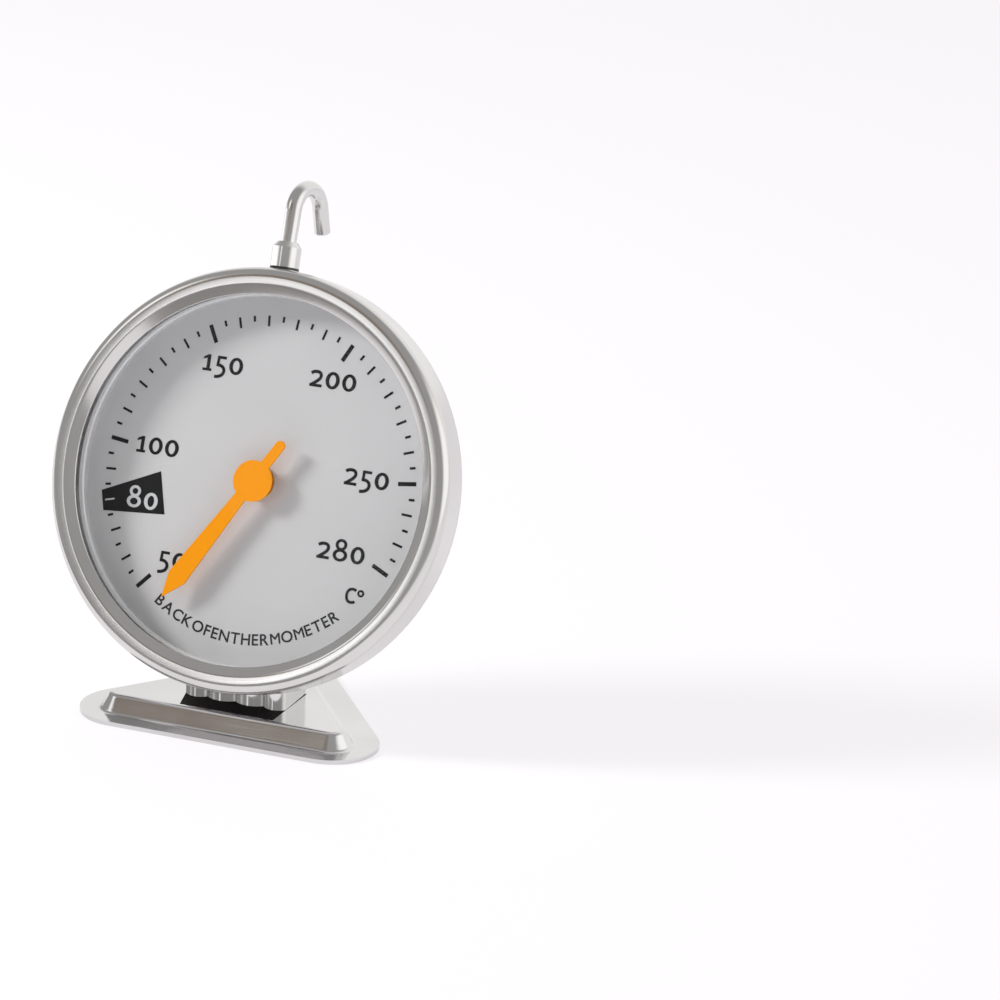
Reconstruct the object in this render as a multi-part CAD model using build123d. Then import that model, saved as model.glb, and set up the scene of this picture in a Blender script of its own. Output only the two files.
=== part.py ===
from build123d import *
import os
from math import acos, atan, cos, degrees, hypot, radians, sin, sqrt, tan

# Free-standing oven thermometer: a round steel case with a glass front, leaning back on a
# channel bracket that stands on a three-cornered pressed base, with a swivelling wire hook on top.
# Millimetres. +Z is up, the dial faces -Y, the origin is under the middle of the whole object.

# ---- driving dimensions ----------------------------------------------------------------------
# Case. Depths in the case are measured backwards from the crest of the bezel.
TILT = 19.8             # the dial leans back by this angle
CREST_Y = -9.48         # centre of the bezel's crest circle
CREST_Z = 46.6
CASE_R = 39.0           # outside of the band
EDGE_R = 2.0            # rounding of the band's front and rear edges
CASE_DEPTH = 9.95       # crest to the flat rear annulus
SHEET = 0.6             # steel of the bezel ring and the back cover
APERTURE_R = 34.0       # edge of the bezel's lip
CREST_IN_R = 36.1       # inner end of the flat crest
CREST_BEND_R = 1.2      # from there the lip bends in towards the glass
LIP_SLOPE = 32.0
SEAM_GAP = 0.05         # between the bezel ring's rear edge and the cover
RIM_FIT = 0.05          # the cover's rim inside the bezel ring
RIM_DEPTH = 6.0         # front edge of that rim
DOME_R = 28.0           # where the dome would meet the annulus with no blend
DOME_BALL_R = 58.0      # radius of the dome's sphere
DOME_BLEND_R = 3.0

# Glass, dial and what locates them
INNER_R = 37.3          # edge of the glass, spacer and dial
GLASS_DEPTH = 1.85
GLASS_T = 1.5
SPACER_R = 34.3         # wall that shows between the glass and the dial
SPACER_T = 0.4
SPACER_BEAD_DEPTH = 5.3 # middle of the bead rolled into that wall
SPACER_BEAD_HALF = 0.6
SPACER_BEAD_RISE = 0.35
DIAL_DEPTH = 7.0
DIAL_T = 0.4
SUPPORT_R = 36.9        # inside the cover's rounded rear edge
SUPPORT_T = 1.0

# Movement behind the dial
SHAFT_R = 0.75
RUN_GAP = 0.06          # radial clearance of the shaft in its bearings
BUSH_R = 2.0
BUSH_HEAD_R = 3.2
BUSH_HEAD_T = 0.5
BUSH_NUT_T = 0.9
HUB_GAP = 0.2           # between the bush's head and the pointer's hub
STRAP_T = 0.8
STRAP_W = 6.0
STRAP_LEG_X = -11.0     # outer face of the strap's leg
STRAP_FRONT_X = 10.8    # free end of its front arm
STRAP_REAR_X = 3.4      # free end of its rear arm
STRAP_REAR_DEPTH = 15.0
BEARING_R = 1.6
COIL_DEPTH = 9.7
COIL_H = 3.6
COIL_T = 0.5
COIL_PITCH = 1.4
COIL_FIRST_R = 3.2
COIL_HALF_TURNS = 8
COIL_TAIL_L = 1.6       # straight inner end of the strip, in the collet's slot
COLLET_R = 2.2
SLOT_L = 2.0            # half of it is inside the collet
COLLET_MARGIN = 0.2     # the collet stands out of the coil at each end
POST_R = 0.8
CLIP_T = 0.4

# Pointer
POINTER_DEPTH = 4.0
POINTER_T = 0.4
POINTER_ANGLE = -148.8  # clockwise from the top of the dial, at 40 degrees on the scale
POINTER_DISC_R = 3.8
POINTER_ROOT_W = 2.0
POINTER_WIDE_W = 3.8
POINTER_WIDE_R = 23.0
POINTER_TIP_R = 27.6
POINTER_TAIL_R = 9.2
POINTER_TAIL_W = 1.9
HUB_R = 1.8

# Hook on the top of the band
HOOK_DEPTH = 5.0        # its axis stands in the middle of the band
HOOK_OFF_TOP = 1.0      # and this angle anticlockwise of the dial's top
HOOK_SWIVEL = 9.4       # the hook's plane is turned this far towards +X from straight back
HOOK_LEAN = 2.2         # the wire leans back out of the ferrule
WIRE_R = 1.5
WIRE_CHAMFER = 0.3
HOOK_BEND_R = 4.8
HOOK_BEND_UP = 11.1     # start of the bend above the band
HOOK_TURN = 156.0
HOOK_TIP_L = 5.1
FERRULE_R = 2.7
FERRULE_H = 3.7
FERRULE_CONE_H = 1.0
FERRULE_TOP_R = 1.85
WIRE_SOCKET = 3.0       # length of wire inside the ferrule
WASHER_T = 0.45
NECK_R = 1.3            # shank of the ferrule through the band
NECK_GAP = 0.06
RETAINER_R = 2.2
RETAINER_T = 0.45
RETAINER_GAP = 0.12
NOTCH_H = 4.0           # cut in the cover's rim round the retainer, half of it outside the band

# Base
FLANGE_FRONT_Y = -23.43
FLANGE_HALF_W = 38.5    # to the sharp corners, before rounding
FLANGE_L = 50.7
FLANGE_CORNER_R = 9.0
PLATE_T = 0.8
RAISED_FRONT = 3.7      # flat flange left in front of the raised middle
RAISED_SIDE = 5.0       # and along its sides
RAISED_CORNER_R = 4.2
RAISED_H = 4.0
WALL_LEAN = 30.0        # the raised wall leans in by this angle
TOP_EDGE_R = 1.2
FOOT_EDGE_R = 0.9

# Bracket
BRACKET_HALF_W = 10.05
BRACKET_FRONT_Y = -12.53
BRACKET_REAR_Y = -1.23
BRACKET_T = 0.8
BRACKET_BLANK_H = 36.0  # before its top is cut to the case
FLUTE_EDGES = (-10.05, -5.6, 0.0, 5.6, 10.05)
FLUTE_RISE = 1.1
BEAD_R = 1.1
BEAD_BORE_R = 0.4
CASE_GAP = 0.45         # clearance of the bracket's cut edges from the case
SADDLE_GAP = 0.03
SADDLE_T = 0.8
FOOT_REAR_Y = -3.23
HOLE_FIT = 0.02         # clearance round fixed shanks
RIVET_R = 1.2
RIVET_HEAD_R = 2.2
RIVET_HEAD_H = 0.9
RIVET_DOME_R = 0.72     # rounding of the head's edge
RIVET_TAIL_R = 1.9
RIVET_TAIL_H = 0.6
RIVET_X = 5.0
FOOT_RIVET_Y = -7.23
SADDLE_RIVET_UP = -20.5

# ---- frames ----------------------------------------------------------------------------------
# In the case frame X is the object's X, Y runs up the dial and Z points out of the glass,
# so a depth d behind the crest is Z = -d.
lean = radians(TILT)
case_frame = Plane(origin=(0, CREST_Y, CREST_Z), x_dir=(1, 0, 0), z_dir=(0, -cos(lean), sin(lean)))
# In the hook frame X points backwards and Z straight out of the band, from the band's surface.
off_top = radians(HOOK_OFF_TOP)
hook_frame = Plane(
    origin=case_frame.from_local_coords((-CASE_R * sin(off_top), CASE_R * cos(off_top), -HOOK_DEPTH)),
    x_dir=-case_frame.z_dir,
    z_dir=case_frame.y_dir * cos(off_top) - case_frame.x_dir * sin(off_top),
)
edge_centre_r = CASE_R - EDGE_R
rear_edge_depth = CASE_DEPTH - EDGE_R
ball_depth = CASE_DEPTH - sqrt(DOME_BALL_R**2 - DOME_R**2)


def in_case(shape):
    return case_frame.location * shape


def in_hook(shape):
    return hook_frame.location * shape


def rod(radius, low, high):
    """A cylinder about local Z between two heights."""
    return Pos(0, 0, (low + high) / 2) * Cylinder(radius, high - low)


def disc(radius, depth, thickness, hole=0.0):
    """A round plate in the case frame whose front face is at this depth."""
    plate = rod(radius, -depth - thickness, -depth)
    return plate - rod(hole, -depth - thickness, -depth) if hole else plate


def rd(radius, depth):
    """A point of a spun section, as radius and depth."""
    return (radius, -depth)


def arc(centre_r, centre_depth, radius, start, end):
    """Arc of a spun section; angle 0 points outwards and 90 forwards."""
    angles = [radians(a) for a in (start, (start + end) / 2, end)]
    points = [rd(centre_r + radius * cos(a), centre_depth - radius * sin(a)) for a in angles]
    return ThreePointArc(*points)


def chain(*points):
    return [Line(a, b) for a, b in zip(points, points[1:])]


def spun(edges):
    """Revolve a closed section about the case's axis."""
    return revolve(Plane.XZ * make_face(edges), Axis.Z, 360)


# ---- case ------------------------------------------------------------------------------------
def make_bezel_ring():
    """Band and bezel spun in one: rounded front edge, flat crest, lip sloping in to a round tip."""
    outer = arc(edge_centre_r, EDGE_R, EDGE_R, 0, 90)
    inner = arc(edge_centre_r, EDGE_R, EDGE_R - SHEET, 0, 90)
    bend_out = arc(CREST_IN_R, CREST_BEND_R, CREST_BEND_R, 90, 90 + LIP_SLOPE)
    bend_in = arc(CREST_IN_R, CREST_BEND_R, CREST_BEND_R - SHEET, 90, 90 + LIP_SLOPE)
    slope = radians(LIP_SLOPE)
    tip_r = SHEET / 2
    square = Vector(-sin(slope), cos(slope))
    lip_run = (bend_out @ 1).X - APERTURE_R - tip_r * (1 - sin(slope))
    tip_out = bend_out @ 1 + Vector(-lip_run, -lip_run * tan(slope))
    tip_mid = tip_out - tip_r * square - tip_r * Vector(cos(slope), sin(slope))
    tip_in = tip_out - 2 * tip_r * square
    rear = rear_edge_depth - SEAM_GAP
    lines = [outer, inner, bend_out, bend_in, ThreePointArc(tip_out, tip_mid, tip_in)]
    lines += chain(outer @ 1, bend_out @ 0)
    lines += chain(bend_out @ 1, tip_out)
    lines += chain(tip_in, bend_in @ 1)
    lines += chain(inner @ 1, bend_in @ 0)
    lines += chain(outer @ 0, rd(CASE_R, rear), rd(CASE_R - SHEET, rear), inner @ 0)
    ring = in_case(spun(lines))
    return ring - in_hook(rod(NECK_R + NECK_GAP, -2 * SHEET, SHEET))


def rear_edges(skin, edge_start=0.0):
    """Rear of the case this far inside its outer face: edge, annulus, blend and dome."""
    blend_drop = CASE_DEPTH + DOME_BLEND_R - ball_depth
    blend_centre_r = sqrt((DOME_BALL_R + DOME_BLEND_R) ** 2 - blend_drop**2)
    dome_half_angle = degrees(atan(blend_centre_r / blend_drop))
    edge = arc(edge_centre_r, rear_edge_depth, EDGE_R - skin, edge_start, -90)
    blend = arc(
        blend_centre_r, CASE_DEPTH + DOME_BLEND_R, DOME_BLEND_R + skin, 90, 90 + dome_half_angle
    )
    dome = arc(0, ball_depth, DOME_BALL_R - skin, dome_half_angle - 90, -90)
    return [edge, Line(edge @ 1, blend @ 0), blend, dome]


def make_back_cover():
    """Pressed back: stepped rim inside the ring, rounded edge, flat annulus and shallow dome."""
    rim_out = CASE_R - SHEET - RIM_FIT
    rim_in = rim_out - SHEET
    outside = rear_edges(0)
    inside = rear_edges(SHEET, -degrees(acos((rim_in - edge_centre_r) / (EDGE_R - SHEET))))
    lines = outside + inside
    lines += chain(outside[-1] @ 1, inside[-1] @ 1)
    lines += chain(
        outside[0] @ 0,
        rd(rim_out, rear_edge_depth),
        rd(rim_out, RIM_DEPTH),
        rd(rim_in, RIM_DEPTH),
        inside[0] @ 0,
    )
    notch_l = rear_edge_depth - RIM_DEPTH
    notch = Pos(0, CASE_R, -RIM_DEPTH - notch_l / 2) * Box(4 * RETAINER_R, NOTCH_H, notch_l)
    return in_case(spun(lines) - notch) - saddle_rivets(hole=True)


def case_envelope(gap):
    """The rear half of the case as a solid, grown by this gap."""
    rear = rear_edges(-gap)
    lines = rear + chain(rear[-1] @ 1, (0, 0), rd(CASE_R + gap, 0), rear[0] @ 0)
    return in_case(spun(lines))


def make_spacer_ring():
    """Rolled ring of channel section, open outwards, that holds the glass off the dial."""
    low = GLASS_DEPTH + GLASS_T
    width = DIAL_DEPTH - low
    ring = disc(INNER_R, low, width, SPACER_R)
    hollow = disc(CASE_R, low + SPACER_T, width - 2 * SPACER_T, SPACER_R + SPACER_T)
    bead_front = SPACER_BEAD_DEPTH - SPACER_BEAD_HALF
    bead_rear = SPACER_BEAD_DEPTH + SPACER_BEAD_HALF
    crown = rd(SPACER_R - SPACER_BEAD_RISE, SPACER_BEAD_DEPTH)
    root_r = SPACER_R + SPACER_T / 2
    lines = [ThreePointArc(rd(SPACER_R, bead_front), crown, rd(SPACER_R, bead_rear))]
    lines += chain(
        rd(SPACER_R, bead_rear), rd(root_r, bead_rear), rd(root_r, bead_front), rd(SPACER_R, bead_front)
    )
    return in_case(ring - hollow + spun(lines))


def make_support_ring():
    low = DIAL_DEPTH + DIAL_T
    return in_case(disc(SUPPORT_R, low, CASE_DEPTH - SHEET - low, SUPPORT_R - SUPPORT_T))


# ---- movement --------------------------------------------------------------------------------
strap_front_depth = DIAL_DEPTH + DIAL_T
nut_depth = strap_front_depth + STRAP_T
bush_rear_depth = nut_depth + BUSH_NUT_T
bore_r = SHAFT_R + RUN_GAP
coil_end_x = COIL_FIRST_R + COIL_PITCH * COIL_HALF_TURNS / 2


def make_centre_bush():
    """Flanged bush through the dial; its head lies under the pointer's disc."""
    head = disc(BUSH_HEAD_R, DIAL_DEPTH - BUSH_HEAD_T, BUSH_HEAD_T)
    body = disc(BUSH_R, DIAL_DEPTH, bush_rear_depth - DIAL_DEPTH)
    bore_front = DIAL_DEPTH - 2 * BUSH_HEAD_T
    bore = disc(bore_r, bore_front, bush_rear_depth + BUSH_HEAD_T - bore_front)
    return in_case(head + body - bore)


def make_bush_nut():
    nut = extrude(RegularPolygon(BUSH_HEAD_R, 6), BUSH_NUT_T)
    nut = Pos(0, 0, -bush_rear_depth) * nut
    return in_case(nut - disc(BUSH_R + HOLE_FIT, nut_depth, BUSH_NUT_T))


def strap_arm(low_x, high_x, depth):
    """One arm of the strap, square at its leg and round at its free end."""
    end_r = STRAP_W / 2
    arm = Pos((low_x + high_x - end_r) / 2, 0) * Rectangle(high_x - end_r - low_x, STRAP_W)
    arm += Pos(high_x - end_r, 0) * Circle(end_r)
    return Pos(0, 0, -depth - STRAP_T) * extrude(arm, STRAP_T)


def make_movement_strap():
    """Bent strap clamped under the bush nut; its rear arm carries the shaft's rear bearing."""
    rear_depth = STRAP_REAR_DEPTH - STRAP_T
    length = STRAP_REAR_DEPTH - strap_front_depth
    leg = Box(STRAP_T, STRAP_W, length)
    strap = Pos(STRAP_LEG_X + STRAP_T / 2, 0, -strap_front_depth - length / 2) * leg
    strap += strap_arm(STRAP_LEG_X, STRAP_FRONT_X, strap_front_depth)
    strap += strap_arm(STRAP_LEG_X, STRAP_REAR_X, rear_depth)
    strap -= disc(BUSH_R + HOLE_FIT, strap_front_depth, STRAP_T)
    strap -= disc(BEARING_R + HOLE_FIT, rear_depth, STRAP_T)
    return in_case(strap)


def make_rear_bearing():
    margin = COLLET_MARGIN
    low = STRAP_REAR_DEPTH - STRAP_T - margin
    return in_case(disc(BEARING_R, low, STRAP_T + 2 * margin, bore_r))


def make_bimetal_coil():
    """Flat spiral strip, wound as half turns about two centres half a pitch apart."""
    strip = Pos(COIL_FIRST_R - COIL_TAIL_L / 2, -COIL_T / 2) * Rectangle(COIL_TAIL_L + COIL_T, COIL_T)
    for k in range(COIL_HALF_TURNS):
        radius = COIL_FIRST_R + k * COIL_PITCH / 2
        turn = Circle(radius + COIL_T / 2) - Circle(radius - COIL_T / 2)
        side = 1 if k % 2 == 0 else -1
        half = Pos(0, side * CASE_R / 2) * Rectangle(CASE_R, CASE_R)
        centre_x = 0 if k % 2 == 0 else COIL_PITCH / 2
        strip += (Pos(centre_x, 0) * turn) & half
    return in_case(Pos(0, 0, -COIL_DEPTH - COIL_H) * extrude(strip, COIL_H))


def make_anchor_post():
    """Post on the strap's front arm that the coil's outer end is welded to."""
    post = rod(POST_R, -COIL_DEPTH - COIL_H, -nut_depth)
    return in_case(Pos(coil_end_x, POST_R + HOLE_FIT) * post)


# ---- pointer ---------------------------------------------------------------------------------
def make_pointer():
    """Flat needle: disc, blade widening outwards to a sharp tip, and a short round-ended tail."""
    blade = Polygon(
        (POINTER_ROOT_W / 2, 0),
        (POINTER_WIDE_W / 2, POINTER_WIDE_R),
        (0, POINTER_TIP_R),
        (-POINTER_WIDE_W / 2, POINTER_WIDE_R),
        (-POINTER_ROOT_W / 2, 0),
        align=None,
    )
    tail_l = POINTER_TAIL_R - POINTER_TAIL_W / 2
    tail = Pos(0, -tail_l / 2) * Rectangle(POINTER_TAIL_W, tail_l)
    tail += Pos(0, -tail_l) * Circle(POINTER_TAIL_W / 2)
    outline = Circle(POINTER_DISC_R) + blade + tail
    plate = Pos(0, 0, -POINTER_DEPTH - POINTER_T) * extrude(outline, POINTER_T)
    return in_case(Rot(0, 0, -POINTER_ANGLE) * plate)


hub_front = POINTER_DEPTH + POINTER_T
hub_rear = DIAL_DEPTH - BUSH_HEAD_T - HUB_GAP
clip_depth = STRAP_REAR_DEPTH + 2 * COLLET_MARGIN
shaft_end = clip_depth + CLIP_T + COLLET_MARGIN


def make_coil_collet():
    """Collet on the shaft, slotted for the coil's inner end."""
    collet = disc(COLLET_R, COIL_DEPTH - COLLET_MARGIN, COIL_H + 2 * COLLET_MARGIN, SHAFT_R)
    slot_w = COIL_T + 2 * RUN_GAP
    slot_h = COIL_H + 4 * COLLET_MARGIN
    slot = Pos(COLLET_R, -COIL_T / 2, -COIL_DEPTH - COIL_H / 2) * Box(SLOT_L, slot_w, slot_h)
    return in_case(collet - slot)


# ---- hook ------------------------------------------------------------------------------------
shoulder = WASHER_T + FERRULE_H
wire_foot = shoulder + FERRULE_CONE_H - WIRE_SOCKET


def make_hook_wire():
    """Round wire: straight leg, bend towards the back, short straight tip."""
    start = radians(HOOK_LEAN)
    turn = radians(HOOK_TURN)
    leg = (HOOK_BEND_UP - wire_foot) * Vector(tan(start), 0, 1)
    centre = Vector(0, 0, wire_foot) + leg + HOOK_BEND_R * Vector(cos(start), 0, -sin(start))

    def on_bend(angle):
        return centre + HOOK_BEND_R * Vector(-cos(angle), 0, sin(angle))

    tip_way = Vector(sin(turn), 0, cos(turn))
    path = Wire([
        Line((0, 0, wire_foot), on_bend(start)),
        ThreePointArc(on_bend(start), on_bend((start + turn) / 2), on_bend(turn)),
        Line(on_bend(turn), on_bend(turn) + HOOK_TIP_L * tip_way),
    ])
    wire = sweep(Pos(0, 0, wire_foot) * Rot(0, HOOK_LEAN, 0) * Circle(WIRE_R), path)
    tip_face = wire.faces().filter_by(GeomType.PLANE).sort_by(Axis.X)[-1]
    return in_hook(Rot(0, 0, -HOOK_SWIVEL) * chamfer(tip_face.edges(), WIRE_CHAMFER))


def make_hook_ferrule():
    """Turned ferrule with a coned top; its shank passes through the band and is held inside."""
    cone = Pos(0, 0, shoulder + FERRULE_CONE_H / 2) * Cone(FERRULE_R, FERRULE_TOP_R, FERRULE_CONE_H)
    neck_end = -SHEET - RETAINER_GAP - RETAINER_T
    body = rod(FERRULE_R, WASHER_T, shoulder) + cone + rod(NECK_R, neck_end, WASHER_T)
    socket = Pos(0, 0, wire_foot) * Rot(0, HOOK_LEAN, 0) * rod(WIRE_R, 0, 2 * WIRE_SOCKET)
    return in_hook(Rot(0, 0, -HOOK_SWIVEL) * (body - socket))


def make_hook_retainer():
    high = -SHEET - RETAINER_GAP
    return in_hook(rod(RETAINER_R, high - RETAINER_T, high) - rod(NECK_R, high - RETAINER_T, high))


def make_hook_washer():
    return in_hook(rod(FERRULE_R, 0, WASHER_T - NECK_GAP) - rod(NECK_R + NECK_GAP, 0, WASHER_T))


# ---- base ------------------------------------------------------------------------------------
def three_corner(front, side, corner_r):
    """Rounded triangle inside the flange's sharp outline by these insets, point to the back."""
    slant = hypot(FLANGE_HALF_W, FLANGE_L)
    apex = FLANGE_L - side * slant / FLANGE_HALF_W
    half_w = FLANGE_HALF_W * (apex - front) / FLANGE_L
    outline = Polygon((-half_w, front), (half_w, front), (0, apex), align=None)
    return Pos(0, FLANGE_FRONT_Y) * fillet(outline.vertices(), corner_r)


def raised_block(shrink, low, high, edge_r):
    """Middle of the base as a block with leaning walls, shrunk inwards by this much."""
    outline = three_corner(RAISED_FRONT + shrink, RAISED_SIDE + shrink, RAISED_CORNER_R - shrink)
    block = extrude(Pos(0, 0, low) * outline, high - low, taper=WALL_LEAN)
    return fillet(block.faces().sort_by(Axis.Z)[-1].edges(), edge_r)


def make_base_plate():
    """Pressed sheet: flat flange all round a raised, hollow middle."""
    block = raised_block(0, PLATE_T, RAISED_H, TOP_EDGE_R)
    plate = extrude(three_corner(0, 0, FLANGE_CORNER_R), PLATE_T) + block
    at_flange = plate.edges().filter_by_position(Axis.Z, PLATE_T - HOLE_FIT, PLATE_T + HOLE_FIT)
    foot = [edge for edge in at_flange if block.distance_to(edge.center()) < HOLE_FIT]
    plate = fillet(foot, FOOT_EDGE_R)
    lean_in = radians(WALL_LEAN)
    shrink = PLATE_T / cos(lean_in) - PLATE_T * tan(lean_in)
    plate -= raised_block(shrink, 0, RAISED_H - PLATE_T, TOP_EDGE_R - PLATE_T)
    return plate - foot_rivets(hole=True)


# ---- rivets ----------------------------------------------------------------------------------
def rivet(low, high, hole):
    """Rivet about local Z gripping from low to high, domed head on top; or only its hole."""
    if hole:
        return rod(RIVET_R + HOLE_FIT, low - RIVET_TAIL_H, high + RIVET_HEAD_H)
    head = rod(RIVET_HEAD_R, high, high + RIVET_HEAD_H)
    head = fillet(head.edges().sort_by(Axis.Z)[-1], RIVET_DOME_R)
    return rod(RIVET_R, low, high) + head + rod(RIVET_TAIL_R, low - RIVET_TAIL_H, low)


def foot_rivets(hole=False):
    """Two rivets through the bracket's foot and the top of the base."""
    one = rivet(RAISED_H - PLATE_T, RAISED_H + BRACKET_T, hole)
    return Pos(RIVET_X, FOOT_RIVET_Y) * one + Pos(-RIVET_X, FOOT_RIVET_Y) * one


def saddle_rivets(hole=False):
    """Two rivets through the bracket's saddle and the dome, square to the dome."""
    sag = RIVET_TAIL_R**2 / (2 * (DOME_BALL_R - SHEET))
    one = rivet(-SHEET - sag, SADDLE_GAP + SADDLE_T, hole)
    drop = sqrt(DOME_BALL_R**2 - RIVET_X**2 - SADDLE_RIVET_UP**2)
    pair = None
    for x in (RIVET_X, -RIVET_X):
        out = Vector(x, SADDLE_RIVET_UP, -drop)
        seat = Plane(origin=out + Vector(0, 0, -ball_depth), z_dir=out)
        placed = seat.location * one
        pair = placed if pair is None else pair + placed
    return in_case(pair)


# ---- bracket ---------------------------------------------------------------------------------
def channel_section(shift):
    """Outline of the channel, filled in: fluted front, open at the back, moved back by shift."""
    valley = BRACKET_FRONT_Y + FLUTE_RISE + shift
    rear = BRACKET_REAR_Y - BEAD_R
    crest = valley - FLUTE_RISE
    flutes = [
        ThreePointArc((a, valley), ((a + b) / 2, crest), (b, valley))
        for a, b in zip(FLUTE_EDGES, FLUTE_EDGES[1:])
    ]
    half = BRACKET_HALF_W
    return make_face(flutes + chain((half, valley), (half, rear), (-half, rear), (-half, valley)))


def make_stand_bracket():
    """Channel with four flutes in front and rolled rear edges, a foot below and a saddle on top."""
    inner_w = 2 * (BRACKET_HALF_W - BRACKET_T)
    inside = Rectangle(inner_w, 2 * CASE_R) & channel_section(BRACKET_T)
    inside += Pos(0, BRACKET_REAR_Y) * Rectangle(inner_w, 2 * BEAD_R + 1)
    section = channel_section(0) - inside
    for side in (1, -1):
        section += Pos(side * (BRACKET_HALF_W - BEAD_R), BRACKET_REAR_Y - BEAD_R) * Circle(BEAD_R)
        section -= Pos(side * (BRACKET_HALF_W - BEAD_R), BRACKET_REAR_Y - BEAD_R) * Circle(BEAD_BORE_R)
    channel = Pos(0, 0, RAISED_H) * extrude(section, BRACKET_BLANK_H) - case_envelope(CASE_GAP)
    channel = channel.solids().sort_by(Axis.Z)[0]

    front = BRACKET_FRONT_Y + FLUTE_RISE + BRACKET_T / 2
    shell = case_envelope(SADDLE_GAP + SADDLE_T) - case_envelope(SADDLE_GAP)
    depth = BRACKET_REAR_Y - front
    block = Box(inner_w, depth, BRACKET_BLANK_H)
    saddle = shell & Pos(0, front + depth / 2, RAISED_H + BRACKET_BLANK_H / 2) * block
    foot_l = FOOT_REAR_Y - front
    foot = Pos(0, front + foot_l / 2, RAISED_H + BRACKET_T / 2) * Box(inner_w, foot_l, BRACKET_T)
    bracket = channel + saddle + foot
    return bracket - foot_rivets(hole=True) - saddle_rivets(hole=True)


# ---- the assembly ----------------------------------------------------------------------------
nodes = {
    # stand and case
    "base_plate": make_base_plate(),
    "foot_rivets": foot_rivets(),
    "stand_bracket": make_stand_bracket(),
    "saddle_rivets": saddle_rivets(),
    "bezel_ring": make_bezel_ring(),
    "back_cover": make_back_cover(),
    "glass_lens": in_case(disc(INNER_R, GLASS_DEPTH, GLASS_T)),
    "spacer_ring": make_spacer_ring(),
    "dial_plate": in_case(disc(INNER_R, DIAL_DEPTH, DIAL_T, BUSH_R + HOLE_FIT)),
    "support_ring": make_support_ring(),
    "hook_washer": make_hook_washer(),
    # movement, fixed
    "centre_bush": make_centre_bush(),
    "bush_nut": make_bush_nut(),
    "movement_strap": make_movement_strap(),
    "rear_bearing": make_rear_bearing(),
    "anchor_post": make_anchor_post(),
    "bimetal_coil": make_bimetal_coil(),
    # pointer and what turns with it
    "pointer": make_pointer(),
    "pointer_hub": in_case(disc(HUB_R, hub_front, hub_rear - hub_front, SHAFT_R)),
    "pointer_shaft": in_case(disc(SHAFT_R, hub_front, shaft_end - hub_front)),
    "coil_collet": make_coil_collet(),
    "shaft_clip": in_case(disc(BEARING_R, clip_depth, CLIP_T, SHAFT_R)),
    # hook
    "hook_wire": make_hook_wire(),
    "hook_ferrule": make_hook_ferrule(),
    "hook_retainer": make_hook_retainer(),
}

os.makedirs("parts", exist_ok=True)
for name, shape in nodes.items():
    export_step(shape, f"parts/{name}.step")
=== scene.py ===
import math

import bmesh
import bpy
from mathutils import Matrix, Vector


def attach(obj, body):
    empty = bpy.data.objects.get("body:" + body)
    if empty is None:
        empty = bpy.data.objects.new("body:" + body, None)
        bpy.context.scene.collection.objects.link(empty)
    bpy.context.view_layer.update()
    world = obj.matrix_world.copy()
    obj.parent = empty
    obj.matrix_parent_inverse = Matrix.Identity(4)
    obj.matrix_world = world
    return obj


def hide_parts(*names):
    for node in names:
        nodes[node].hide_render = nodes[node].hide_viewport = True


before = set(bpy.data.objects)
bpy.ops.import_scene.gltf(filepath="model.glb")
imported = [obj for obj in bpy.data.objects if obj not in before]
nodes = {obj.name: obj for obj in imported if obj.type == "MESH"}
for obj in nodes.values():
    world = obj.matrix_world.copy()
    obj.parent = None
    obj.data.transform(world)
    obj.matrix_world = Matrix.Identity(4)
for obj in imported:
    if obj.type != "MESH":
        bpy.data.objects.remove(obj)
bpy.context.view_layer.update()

MM = 0.001

# The dial leans back by TILT about the X axis. Dial coordinates are x to the right,
# y up the dial and z out of it, from the crest of the bezel.
TILT = math.radians(19.8)
CREST = Vector((0, -9.48, 46.6)) * MM
DIAL_UP = Vector((0, math.sin(TILT), math.cos(TILT)))
DIAL_OUT = Vector((0, -math.cos(TILT), math.sin(TILT)))
DIAL_DEPTH = 7.0 * MM
CASE_MATRIX = Matrix.Translation(CREST) @ Matrix(
    ((1, 0, 0, 0), (0, DIAL_UP.y, DIAL_OUT.y, 0), (0, DIAL_UP.z, DIAL_OUT.z, 0), (0, 0, 0, 1))
)

CAMERA_PLACE = Vector((262.75, -606.15, 263.03)) * MM
CAMERA_AZIMUTH = math.radians(19.671)
CAMERA_ELEVATION = math.radians(18.555)
CAMERA_ROLL = math.radians(2.392)
CAMERA_LENS = 135.95
CAMERA_SENSOR = 36
CAMERA_CLIP = (0.01, 50)


# ---------------------------------------------------------------- camera and light


def add_camera():
    """The camera at the place that the picture is seen from."""
    data = bpy.data.cameras.new("camera")
    data.lens = CAMERA_LENS
    data.sensor_width = CAMERA_SENSOR
    data.clip_start, data.clip_end = CAMERA_CLIP
    camera = bpy.data.objects.new("camera", data)
    bpy.context.scene.collection.objects.link(camera)
    camera.matrix_world = (
        Matrix.Translation(CAMERA_PLACE)
        @ Matrix.Rotation(CAMERA_AZIMUTH, 4, "Z")
        @ Matrix.Rotation(math.pi / 2 - CAMERA_ELEVATION, 4, "X")
        @ Matrix.Rotation(CAMERA_ROLL, 4, "Z")
    )
    bpy.context.scene.camera = camera


def compass(azimuth, elevation):
    """The unit vector at an azimuth, 0 in front and positive to the right, and an elevation."""
    azimuth, elevation = math.radians(azimuth), math.radians(elevation)
    flat = math.cos(elevation)
    return Vector((math.sin(azimuth) * flat, -math.cos(azimuth) * flat, math.sin(elevation)))


ROOM_GREY = 0.40
ROOM_COLOUR = (1.01, 1.0, 0.985, 1)
BACKDROP_WHITE = 1.0
# Soft bright parts of the studio: azimuth, elevation, full radius, outer radius, brightness.
STUDIO_GLOWS = (
    (172, 12, 38, 68, 1.05),
    (92, 10, 18, 48, 1.32),
    (-58, 33, 4, 15, 1.4),
)


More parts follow.
